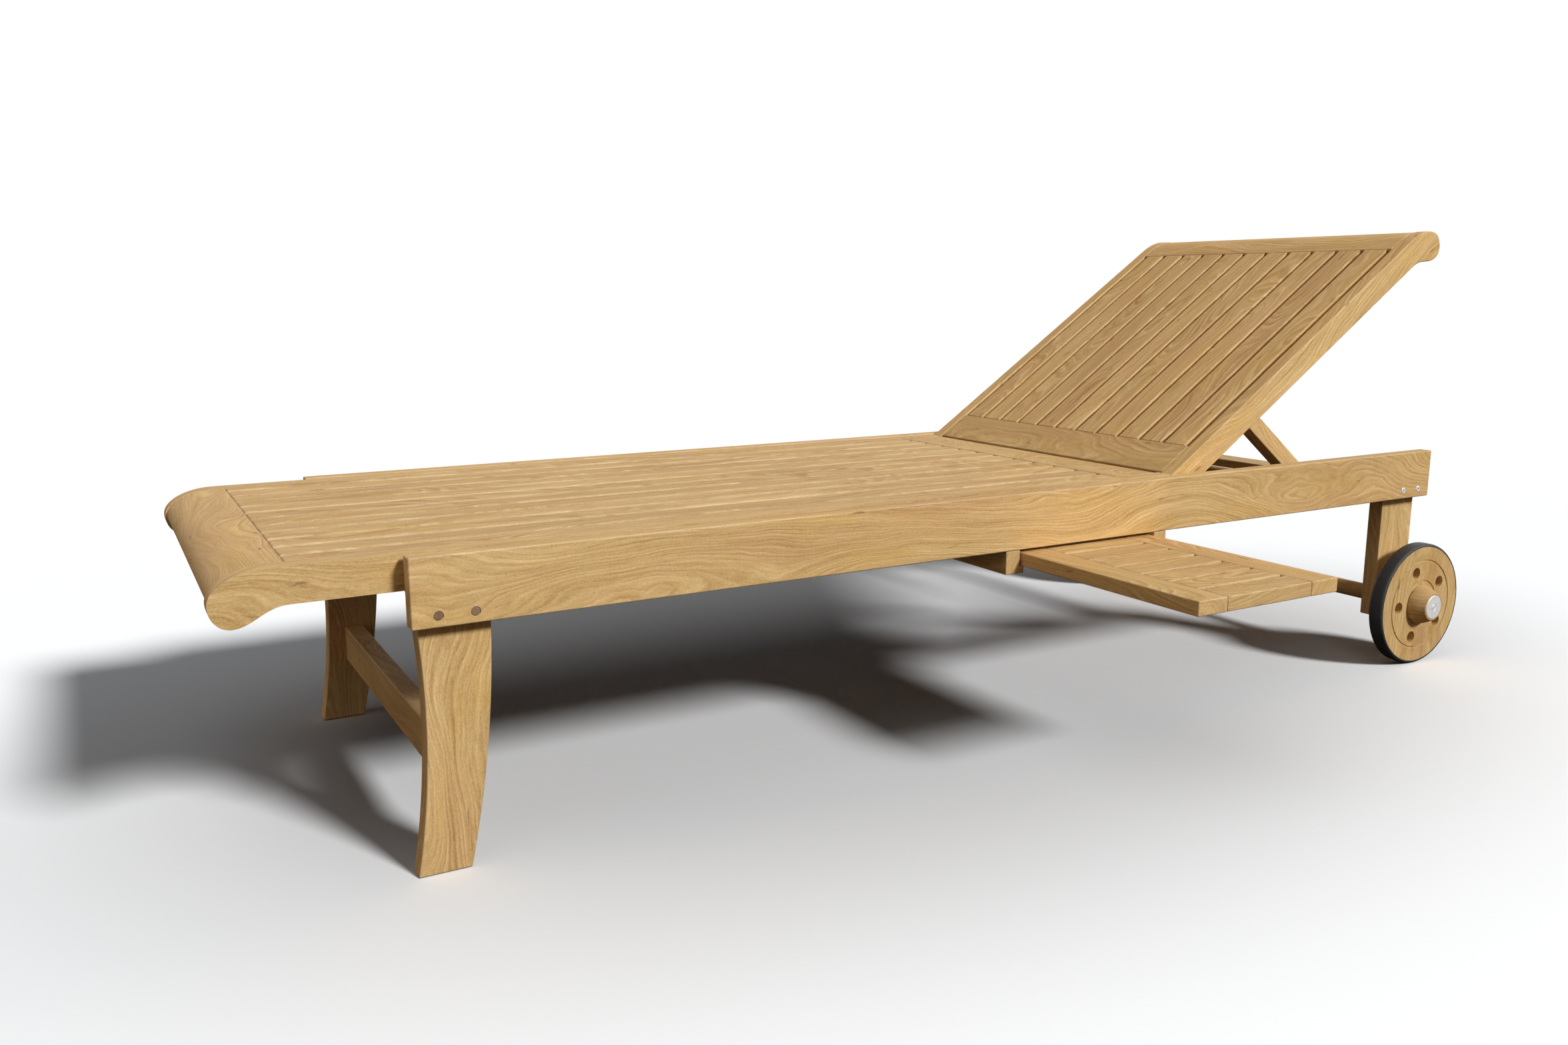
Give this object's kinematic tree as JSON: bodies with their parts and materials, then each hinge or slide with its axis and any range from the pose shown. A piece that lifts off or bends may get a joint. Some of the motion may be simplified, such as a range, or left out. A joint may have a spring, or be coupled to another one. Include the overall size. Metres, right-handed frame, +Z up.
{
  "type": "sun lounger",
  "caption": "Low slatted hardwood sun lounger with scrolled ends, a reclining back on a prop and rack, a pull-out side tray and two wheels at the head end.",
  "frame": {"origin": "bottom centre of the whole box at rest, on the ground", "axes": "+X from the foot end to the head end, +Y to the side away from the tray, +Z up"},
  "size_m": [1.8902, 0.9698, 0.6962],
  "materials": {
    "wood": "oiled, flowing cathedral grain",
    "plug_wood": "matt end grain",
    "tyre": "finely textured black rubber",
    "steel": "pale satin"
  },
  "bodies": {
    "base": {"axle_rod": "steel", "axle_sleeve": "wood", "back_pivot_pin_left": "steel", "back_pivot_pin_right": "steel", "foot_leg_left": "wood", "foot_leg_right": "wood", "foot_leg_stretcher": "wood", "head_cross_rail": "wood", "head_leg_left": "wood", "head_leg_right": "wood", "leg_plug_left_1": "plug_wood", "leg_plug_left_2": "plug_wood", "leg_plug_right_1": "plug_wood", "leg_plug_right_2": "plug_wood", "prop_rack_left": "wood", "prop_rack_right": "wood", "seat_batten_foot": "wood", "seat_batten_head": "wood", "seat_cross_beam": "wood", "seat_foot_rail": "wood", "seat_head_rail": "wood", "seat_side_board_left": "wood", "seat_side_board_right": "wood", "seat_slat_01": "wood", "seat_slat_02": "wood", "seat_slat_03": "wood", "seat_slat_04": "wood", "seat_slat_05": "wood", "seat_slat_06": "wood", "seat_slat_07": "wood", "seat_slat_08": "wood", "seat_slat_09": "wood", "seat_slat_10": "wood", "seat_slat_11": "wood", "seat_slat_12": "wood", "side_rail_left": "wood", "side_rail_right": "wood", "tray_runner_foot": "wood", "tray_runner_head": "wood"},
    "backrest": {"back_bottom_rail": "wood", "back_slat_panel": "wood", "back_stile_left": "wood", "back_stile_right": "wood", "back_top_rail": "wood", "prop_pivot_pin_left": "steel", "prop_pivot_pin_right": "steel"},
    "prop": {"prop_arm_left": "wood", "prop_arm_right": "wood", "prop_foot_bar": "wood"},
    "tray": {"tray_slat_panel": "wood", "tray_stile_foot": "wood", "tray_stile_head": "wood"},
    "wheel_left": {"wheel_cap_left": "steel", "wheel_disc_left": "wood", "wheel_hub_left": "wood", "wheel_tyre_left": "tyre"},
    "wheel_right": {"wheel_cap_right": "steel", "wheel_disc_right": "wood", "wheel_hub_right": "wood", "wheel_tyre_right": "tyre"}
  },
  "joints": [
    {"name": "backrest_recline", "type": "hinge", "parent": "base", "child": "backrest", "pos_m": [0.32472, 0.1231, 0.32825], "axis": [0, -1, 0], "range_deg": [-33.7, 26.3]},
    {"name": "prop_swing", "type": "hinge", "parent": "backrest", "child": "prop", "pos_m": [0.48862, 0.1231, 0.42854], "axis": [0, -1, 0], "range_deg": [-51.5, 65.9]},
    {"name": "tray_slide", "type": "slide", "parent": "base", "child": "tray", "axis": [0, 1, 0], "range_m": [0, 0.295]},
    {"name": "wheel_left_spin", "type": "hinge", "parent": "base", "child": "wheel_left", "pos_m": [0.84542, -0.2029, 0.09965], "axis": [0, 1, 0], "continuous": true},
    {"name": "wheel_right_spin", "type": "hinge", "parent": "base", "child": "wheel_right", "pos_m": [0.84542, 0.4491, 0.09965], "axis": [0, 1, 0], "continuous": true}
  ],
  "couplings": [
    {"joint": "prop_swing", "follows": "backrest_recline", "ratio": -1.94}
  ]
}
